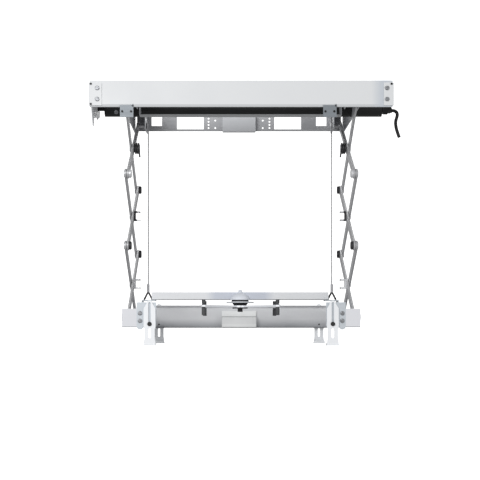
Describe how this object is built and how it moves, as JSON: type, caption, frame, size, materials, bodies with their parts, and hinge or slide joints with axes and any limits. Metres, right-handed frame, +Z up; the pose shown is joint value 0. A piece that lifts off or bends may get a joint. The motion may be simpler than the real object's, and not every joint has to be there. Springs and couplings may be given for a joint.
{
  "type": "ceiling scissor lift",
  "caption": "Motorised ceiling lift: winding tube and ropes raise a carriage on two scissor linkages, with slotted legs and a turning spider mount.",
  "frame": {"origin": "middle of the ceiling mounting plane, on the top of the side rails", "axes": "+X along the winding tube towards the motor head, +Y to the rear, +Z up"},
  "size_m": [0.6451, 0.3568, 0.527],
  "materials": {
    "white_paint": "satin white powder coat",
    "grey_sheet": "pale grey zinc-finish sheet",
    "rail_sheet": "grey sheet",
    "arm_steel": "brushed flat bar",
    "pin_steel": "turned steel with dark caps",
    "tube_black": "black satin",
    "black_plastic": "black moulded",
    "spring_black": "oiled black spring wire",
    "rope_steel": "laid steel rope",
    "carriage_sheet": "satin pale grey",
    "leg_sheet": "bright zinc sheet",
    "box_white": "white moulded",
    "cord_black": "black cable sheath",
    "motor_steel": "dark drawn steel"
  },
  "bodies": {
    "frame": {"front_panel": "white_paint", "rear_panel": "grey_sheet", "centre_box": "grey_sheet", "cross_tie": "grey_sheet", "end_bracket_left": "white_paint", "end_bracket_right": "white_paint", "panel_tabs": "grey_sheet", "dark_studs": "black_plastic", "frame_fasteners": "pin_steel", "top_rail_left": "rail_sheet", "top_rail_right": "rail_sheet", "motor_head": "black_plastic", "motor_barrel": "motor_steel", "lifting_rope_left": "rope_steel", "lifting_rope_right": "rope_steel", "power_cord": "cord_black"},
    "tube": {"winding_tube": "tube_black", "idler_plug": "black_plastic", "drive_wheel": "black_plastic", "rope_anchors": "pin_steel"},
    "carriage": {"low_rail_left": "carriage_sheet", "low_rail_right": "carriage_sheet", "rear_beam": "carriage_sheet", "lifting_bar": "carriage_sheet", "carriage_brackets": "grey_sheet", "rope_lugs": "spring_black", "junction_box": "box_white", "carriage_fasteners": "pin_steel", "spider_bell": "carriage_sheet"},
    "spider": {"turn_discs": "black_plastic", "spider_arms": "leg_sheet", "spider_knobs": "black_plastic"},
    "falling_1_left": {"falling_arm_1_left": "arm_steel", "falling_arm_1_pins_left": "pin_steel"},
    "rising_1_left": {"rising_arm_1_left": "arm_steel", "rising_arm_1_pins_left": "pin_steel", "torsion_spring_left": "spring_black"},
    "rising_2_left": {"rising_arm_2_left": "arm_steel", "rising_arm_2_pins_left": "pin_steel"},
    "falling_2_left": {"falling_arm_2_left": "arm_steel"},
    "falling_3_left": {"falling_arm_3_left": "arm_steel", "falling_arm_3_pins_left": "pin_steel"},
    "rising_3_left": {"rising_arm_3_left": "arm_steel", "rising_arm_3_pins_left": "pin_steel"},
    "falling_1_right": {"falling_arm_1_right": "arm_steel", "falling_arm_1_pins_right": "pin_steel"},
    "rising_1_right": {"rising_arm_1_right": "arm_steel", "rising_arm_1_pins_right": "pin_steel", "torsion_spring_right": "spring_black"},
    "rising_2_right": {"rising_arm_2_right": "arm_steel", "rising_arm_2_pins_right": "pin_steel"},
    "falling_2_right": {"falling_arm_2_right": "arm_steel"},
    "falling_3_right": {"falling_arm_3_right": "arm_steel", "falling_arm_3_pins_right": "pin_steel"},
    "rising_3_right": {"rising_arm_3_right": "arm_steel", "rising_arm_3_pins_right": "pin_steel"},
    "front_leg_left": {"front_leg_left": "leg_sheet"},
    "front_leg_right": {"front_leg_right": "leg_sheet"},
    "rear_leg_left": {"rear_leg_left": "leg_sheet"},
    "rear_leg_right": {"rear_leg_right": "leg_sheet"}
  },
  "joints": [
    {"name": "lift_fold", "type": "hinge", "parent": "frame", "child": "falling_1_left", "pos_m": [-0.2275, -0.14375, -0.0417], "axis": [1, 0, 0], "range_deg": [0, 20.01], "deforming": ["lifting_rope_left", "lifting_rope_right"]},
    {"name": "cross_1_left", "type": "hinge", "parent": "falling_1_left", "child": "rising_1_left", "pos_m": [-0.2275, 0, -0.1132], "axis": [1, 0, 0], "range_deg": [-40.03, 0]},
    {"name": "rear_elbow_1_left", "type": "hinge", "parent": "falling_1_left", "child": "rising_2_left", "pos_m": [-0.2275, 0.14375, -0.1847], "axis": [1, 0, 0], "range_deg": [-40.03, 0]},
    {"name": "cross_2_left", "type": "hinge", "parent": "rising_2_left", "child": "falling_2_left", "pos_m": [-0.2275, 0, -0.2562], "axis": [1, 0, 0], "range_deg": [0, 40.03]},
    {"name": "front_elbow_2_left", "type": "hinge", "parent": "rising_2_left", "child": "falling_3_left", "pos_m": [-0.2275, -0.14375, -0.3277], "axis": [1, 0, 0], "range_deg": [0, 40.03]},
    {"name": "cross_3_left", "type": "hinge", "parent": "falling_3_left", "child": "rising_3_left", "pos_m": [-0.2275, 0, -0.3992], "axis": [1, 0, 0], "range_deg": [-40.03, 0]},
    {"name": "fold_right", "type": "hinge", "parent": "frame", "child": "falling_1_right", "pos_m": [0.2275, -0.14375, -0.0417], "axis": [1, 0, 0], "range_deg": [0, 20.02]},
    {"name": "cross_1_right", "type": "hinge", "parent": "falling_1_right", "child": "rising_1_right", "pos_m": [0.2275, 0, -0.1132], "axis": [1, 0, 0], "range_deg": [-40.03, 0]},
    {"name": "rear_elbow_1_right", "type": "hinge", "parent": "falling_1_right", "child": "rising_2_right", "pos_m": [0.2275, 0.14375, -0.1847], "axis": [1, 0, 0], "range_deg": [-40.03, 0]},
    {"name": "cross_2_right", "type": "hinge", "parent": "rising_2_right", "child": "falling_2_right", "pos_m": [0.2275, 0, -0.2562], "axis": [1, 0, 0], "range_deg": [0, 40.03]},
    {"name": "front_elbow_2_right", "type": "hinge", "parent": "rising_2_right", "child": "falling_3_right", "pos_m": [0.2275, -0.14375, -0.3277], "axis": [1, 0, 0], "range_deg": [0, 40.03]},
    {"name": "cross_3_right", "type": "hinge", "parent": "falling_3_right", "child": "rising_3_right", "pos_m": [0.2275, 0, -0.3992], "axis": [1, 0, 0], "range_deg": [-40.03, 0]},
    {"name": "carriage_level", "type": "hinge", "parent": "rising_3_left", "child": "carriage", "pos_m": [-0.2275, -0.14375, -0.4707], "axis": [1, 0, 0], "range_deg": [0, 20.02]},
    {"name": "tube_spin", "type": "hinge", "parent": "frame", "child": "tube", "pos_m": [0, 0, -0.0285], "axis": [1, 0, 0], "range_deg": [0, 948.54]},
    {"name": "spider_swivel", "type": "hinge", "parent": "carriage", "child": "spider", "pos_m": [0, 0, -0.44], "axis": [0, 0, 1], "range_deg": [-180, 180]},
    {"name": "front_leg_left_slide", "type": "slide", "parent": "carriage", "child": "front_leg_left", "axis": [0, 0, 1], "range_m": [-0.04, 0]},
    {"name": "front_leg_right_slide", "type": "slide", "parent": "carriage", "child": "front_leg_right", "axis": [0, 0, 1], "range_m": [-0.04, 0]},
    {"name": "rear_leg_left_slide", "type": "slide", "parent": "carriage", "child": "rear_leg_left", "axis": [0, 0, 1], "range_m": [-0.04, 0]},
    {"name": "rear_leg_right_slide", "type": "slide", "parent": "carriage", "child": "rear_leg_right", "axis": [0, 0, 1], "range_m": [-0.04, 0]}
  ],
  "couplings": [
    {"joint": "cross_1_left", "follows": "lift_fold", "ratio": -2},
    {"joint": "rear_elbow_1_left", "follows": "lift_fold", "ratio": -2},
    {"joint": "cross_2_left", "follows": "lift_fold", "ratio": 2},
    {"joint": "front_elbow_2_left", "follows": "lift_fold", "ratio": 2},
    {"joint": "cross_3_left", "follows": "lift_fold", "ratio": -2},
    {"joint": "fold_right", "follows": "lift_fold", "ratio": 1},
    {"joint": "cross_1_right", "follows": "lift_fold", "ratio": -2},
    {"joint": "rear_elbow_1_right", "follows": "lift_fold", "ratio": -2},
    {"joint": "cross_2_right", "follows": "lift_fold", "ratio": 2},
    {"joint": "front_elbow_2_right", "follows": "lift_fold", "ratio": 2},
    {"joint": "cross_3_right", "follows": "lift_fold", "ratio": -2},
    {"joint": "carriage_level", "follows": "lift_fold", "ratio": 1},
    {"joint": "tube_spin", "follows": "lift_fold", "ratio": 47.383}
  ]
}
